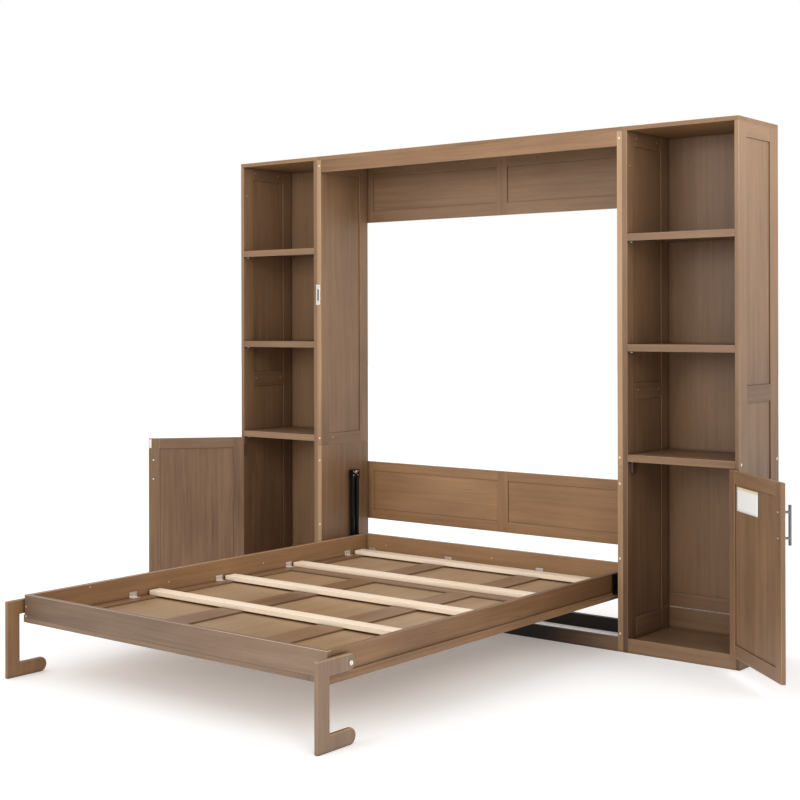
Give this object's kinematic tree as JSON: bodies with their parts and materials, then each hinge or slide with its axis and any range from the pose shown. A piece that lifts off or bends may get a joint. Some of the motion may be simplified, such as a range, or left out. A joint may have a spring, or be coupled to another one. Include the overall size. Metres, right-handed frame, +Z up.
{
  "type": "vertical wall bed with side cabinets",
  "caption": "Wooden wall bed: a slatted platform with swing-down C-shaped legs folds up into a bay between shelved side cabinets with doors.",
  "frame": {"origin": "on the floor, at the middle of the cabinet's front plane", "axes": "+X across the cabinet to the right seen from the bed's foot, +Y from the front plane back to the wall, +Z up"},
  "size_m": [3.4298, 2.252, 2.21],
  "materials": {
    "stained_wood": "satin stained wood grain",
    "stained_wood_light": "satin stained wood grain",
    "pale_pine": "bare sanded pine",
    "dark_rail": "near-black satin paint on wood",
    "black_steel": "black satin powder coat",
    "zinc_steel": "bright zinc plate",
    "brushed_handle": "brushed stainless steel",
    "cap_tan": "tan bolt caps",
    "white_plastic": "moulded plastic"
  },
  "bodies": {
    "cabinet": {"bay_side_l": "stained_wood", "bay_side_r": "stained_wood", "bay_top": "stained_wood_light", "fascia": "stained_wood", "back_upper": "stained_wood", "back_lower": "stained_wood", "rail_front": "stained_wood", "rail_rear": "dark_rail", "edge_bolts": "cap_tan", "latch_plate": "zinc_steel", "cab_outer_l": "stained_wood_light", "cab_outer_r": "stained_wood_light", "cab_inner_l": "stained_wood", "cab_inner_r": "stained_wood", "cab_top_l": "stained_wood_light", "cab_top_r": "stained_wood_light", "cab_back_l": "stained_wood", "cab_back_r": "stained_wood", "cab_base_l": "stained_wood", "cab_base_r": "stained_wood", "shelves_l": "stained_wood", "shelves_r": "stained_wood", "shelf_pins": "zinc_steel", "door_catches": "white_plastic", "hinge_leaves_l": "zinc_steel", "hinge_leaves_r": "zinc_steel", "pivot_bracket_l": "black_steel", "pivot_bracket_r": "black_steel", "strut_brackets": "black_steel"},
    "bed": {"bed_rail_l": "stained_wood", "bed_rail_r": "stained_wood", "foot_board": "stained_wood", "head_rail": "stained_wood", "base_frame": "stained_wood", "base_panels": "stained_wood", "slats": "pale_pine", "bed_battens": "stained_wood", "angle_brackets": "zinc_steel", "pivot_plate_l": "black_steel", "pivot_plate_r": "black_steel", "leg_bolts": "black_steel"},
    "door_l": {"door_frame_l": "stained_wood", "door_panel_l": "stained_wood", "door_leaves_l": "zinc_steel", "handle_l": "brushed_handle", "door_strike_l": "zinc_steel"},
    "door_r": {"door_frame_r": "stained_wood", "door_panel_r": "stained_wood", "door_leaves_r": "zinc_steel", "handle_r": "brushed_handle", "door_strike_r": "zinc_steel"},
    "leg_left": {"leg_l": "stained_wood"},
    "leg_right": {"leg_r": "stained_wood"},
    "strut_cylinders_l": {"strut_tubes_l": "black_steel"},
    "strut_cylinders_r": {"strut_tubes_r": "black_steel"},
    "strut_pistons_l": {"strut_rods_l": "zinc_steel"},
    "strut_pistons_r": {"strut_rods_r": "zinc_steel"}
  },
  "joints": [
    {"name": "bed_fold", "type": "hinge", "parent": "cabinet", "child": "bed", "pos_m": [0, 0.068, 0.257], "axis": [-1, 0, 0], "range_deg": [0, 90]},
    {"name": "leg_swing_l", "type": "hinge", "parent": "bed", "child": "leg_left", "pos_m": [-0.8115, -1.715, 0.271], "axis": [1, 0, 0], "range_deg": [0, 90.5]},
    {"name": "leg_swing_r", "type": "hinge", "parent": "bed", "child": "leg_right", "pos_m": [0.8115, -1.715, 0.271], "axis": [1, 0, 0], "range_deg": [0, 90.5]},
    {"name": "strut_tilt_l", "type": "hinge", "parent": "cabinet", "child": "strut_cylinders_l", "pos_m": [-0.817, 0.232, 0.634], "axis": [-1, 0, 0], "range_deg": [0, 18]},
    {"name": "strut_tilt_r", "type": "hinge", "parent": "cabinet", "child": "strut_cylinders_r", "pos_m": [0.817, 0.232, 0.634], "axis": [-1, 0, 0], "range_deg": [0, 18]},
    {"name": "strut_reach_l", "type": "slide", "parent": "strut_cylinders_l", "child": "strut_pistons_l", "axis": [0, 0, -1], "range_m": [0, 0.186]},
    {"name": "strut_reach_r", "type": "slide", "parent": "strut_cylinders_r", "child": "strut_pistons_r", "axis": [0, 0, -1], "range_m": [0, 0.186]},
    {"name": "door_swing_l", "type": "hinge", "parent": "cabinet", "child": "door_l", "pos_m": [-1.3675, -0.004, 0.431], "axis": [0, 0, 1], "range_deg": [-43, 132]},
    {"name": "door_swing_r", "type": "hinge", "parent": "cabinet", "child": "door_r", "pos_m": [1.3675, -0.004, 0.431], "axis": [0, 0, -1], "range_deg": [-37, 138]}
  ],
  "couplings": [
    {"joint": "leg_swing_l", "follows": "bed_fold", "ratio": 1},
    {"joint": "leg_swing_r", "follows": "bed_fold", "ratio": 1},
    {"joint": "strut_tilt_l", "follows": "bed_fold", "ratio": 0.1949},
    {"joint": "strut_tilt_r", "follows": "bed_fold", "ratio": 0.1949},
    {"joint": "strut_reach_l", "follows": "bed_fold", "m_per_rad": 0.11674},
    {"joint": "strut_reach_r", "follows": "bed_fold", "m_per_rad": 0.11674}
  ]
}
